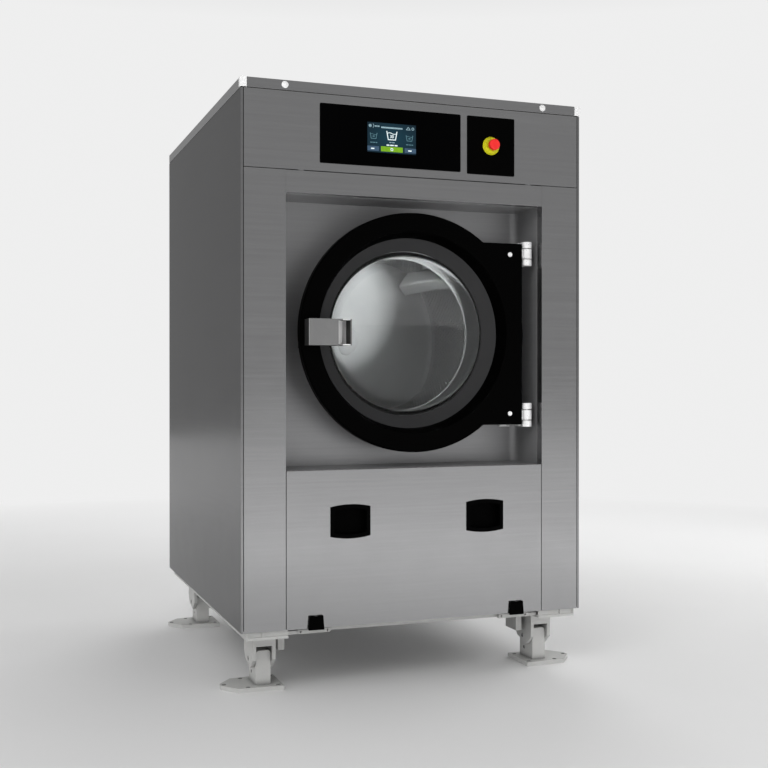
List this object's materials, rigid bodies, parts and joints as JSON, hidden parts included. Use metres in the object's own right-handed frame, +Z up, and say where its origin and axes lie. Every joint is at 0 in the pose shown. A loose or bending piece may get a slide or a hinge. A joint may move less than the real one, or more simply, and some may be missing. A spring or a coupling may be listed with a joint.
{
  "type": "washer-extractor",
  "caption": "Front-loading washer-extractor: stainless cabinet on four bolt-down feet, round black porthole door in a recess, touch panel, stop button, drop-front service panel.",
  "frame": {"origin": "centre of the outer anchor hole pattern, at floor level", "axes": "+X to the right seen from the front, front faces -Y, +Z up, floor at Z = 0"},
  "size_m": [0.933, 1.0668, 1.4493],
  "materials": {
    "stainless": "brushed",
    "stainless_inner": "satin",
    "drum_steel": "polished, perforated",
    "frame_paint": "satin light grey",
    "foot_steel": "matt light grey",
    "chrome": "polished",
    "black_metal": "satin black",
    "black_plastic": "matt black",
    "dark_plastic": "matt dark grey",
    "grey_plastic": "matt mid grey",
    "white_plastic": "gloss white",
    "yellow_plastic": "gloss yellow",
    "red_plastic": "gloss red",
    "black_glass": "gloss black",
    "screen": "lit screen",
    "clear_glass": "clear, polished",
    "rubber": "matt black",
    "cast_iron": "painted dark grey",
    "motor_paint": "satin blue grey",
    "machined_steel": "machined",
    "brass": "plain",
    "tub_steel": "mill finish"
  },
  "bodies": {
    "cabinet": {"base_frame": "frame_paint", "foot_plates": "foot_steel", "foot_forks": "foot_steel", "foot_pins": "machined_steel", "side_panel_left": "stainless", "side_panel_right": "stainless", "top_cover": "stainless", "cover_caps": "white_plastic", "front_columns": "stainless", "header_strip": "stainless", "control_fascia": "stainless", "display_glass": "black_glass", "display_module": "screen", "estop_plate": "black_plastic", "estop_collar": "yellow_plastic", "estop_block": "black_plastic", "recess_panel": "stainless_inner", "tub_shell": "tub_steel", "tub_front": "tub_steel", "tub_back": "tub_steel", "door_gasket": "rubber", "tub_brackets": "frame_paint", "bearing_housing": "cast_iron", "shaft_bearings": "machined_steel", "shaft_seal": "rubber", "drive_belt": "rubber", "motor": "motor_paint", "heating_elements": "chrome", "hinge_brackets": "chrome", "door_lock": "black_plastic", "rear_panel": "stainless_inner", "belt_guard": "stainless_inner", "electrical_box": "frame_paint", "inlet_valves": "brass", "dispenser_tray": "stainless_inner", "drain_valve": "black_plastic"},
    "door": {"door_ring": "black_metal", "door_bezel": "dark_plastic", "door_glass": "clear_glass", "door_clamp_ring": "rubber", "door_hinges": "chrome", "handle_housing": "grey_plastic"},
    "handle": {"handle_lever": "grey_plastic"},
    "latch": {"latch_tongue": "machined_steel"},
    "drum": {"drum_shell": "drum_steel", "drum_back": "drum_steel", "drum_lifters": "drum_steel", "hub_cap": "drum_steel", "drum_shaft": "machined_steel", "drum_pulley": "cast_iron"},
    "rotor": {"motor_rotor": "machined_steel"},
    "stop_stem": {"estop_stem": "black_plastic"},
    "stop_head": {"estop_head": "red_plastic"},
    "lower_panel": {"service_panel": "stainless", "panel_grips": "black_plastic"},
    "catch_l": {"catch_left": "black_metal"},
    "catch_r": {"catch_right": "black_metal"},
    "valve_ball": {"drain_ball": "machined_steel"},
    "lid": {"dispenser_lid": "stainless"},
    "switch": {"switch_knob": "red_plastic"}
  },
  "joints": [
    {"name": "door_swing", "type": "hinge", "parent": "cabinet", "child": "door", "pos_m": [0.3075, -0.453, 0.856], "axis": [0, 0, 1], "range_deg": [0, 110]},
    {"name": "handle_pull", "type": "hinge", "parent": "door", "child": "handle", "pos_m": [-0.2753, -0.5, 0.85275], "axis": [0, 0, -1], "range_deg": [0, 28], "stiffness_Nm_per_rad": 0.25, "springref_deg": -5.73},
    {"name": "latch_turn", "type": "hinge", "parent": "door", "child": "latch", "pos_m": [-0.2675, -0.453, 0.85275], "axis": [0, 0, -1], "range_deg": [0, 4]},
    {"name": "drum_spin", "type": "hinge", "parent": "cabinet", "child": "drum", "pos_m": [0, 0.213, 0.856], "axis": [0, 1, 0], "continuous": true},
    {"name": "motor_spin", "type": "hinge", "parent": "cabinet", "child": "rotor", "pos_m": [0.17, 0.213, 0.3], "axis": [0, 1, 0], "continuous": true},
    {"name": "estop_press", "type": "slide", "parent": "cabinet", "child": "stop_stem", "axis": [0, 1, 0], "range_m": [0, 0.004]},
    {"name": "estop_twist", "type": "hinge", "parent": "stop_stem", "child": "stop_head", "pos_m": [0.1919, -0.507, 1.3223], "axis": [0, 1, 0], "range_deg": [0, 30]},
    {"name": "panel_tilt", "type": "hinge", "parent": "cabinet", "child": "lower_panel", "pos_m": [0, -0.473, 0.517], "axis": [-1, 0, 0], "range_deg": [0, 15]},
    {"name": "catch_left_lift", "type": "hinge", "parent": "lower_panel", "child": "catch_l", "pos_m": [-0.262, -0.4906, 0.1812], "axis": [-1, 0, 0], "range_deg": [0, 60]},
    {"name": "catch_right_lift", "type": "hinge", "parent": "lower_panel", "child": "catch_r", "pos_m": [0.262, -0.4906, 0.1812], "axis": [-1, 0, 0], "range_deg": [0, 60]},
    {"name": "drain_ball_turn", "type": "hinge", "parent": "cabinet", "child": "valve_ball", "pos_m": [0, -0.157, 0.382], "axis": [1, 0, 0], "range_deg": [0, 90]},
    {"name": "dispenser_lid_open", "type": "hinge", "parent": "cabinet", "child": "lid", "pos_m": [-0.18, -0.148, 1.4458], "axis": [-1, 0, 0], "range_deg": [0, 85]},
    {"name": "main_switch_turn", "type": "hinge", "parent": "cabinet", "child": "switch", "pos_m": [0.33, 0.506, 1.33], "axis": [0, 1, 0], "range_deg": [0, 90]}
  ],
  "couplings": [
    {"joint": "latch_turn", "follows": "handle_pull", "ratio": 0.14286},
    {"joint": "motor_spin", "follows": "drum_spin", "ratio": 5.1923}
  ]
}
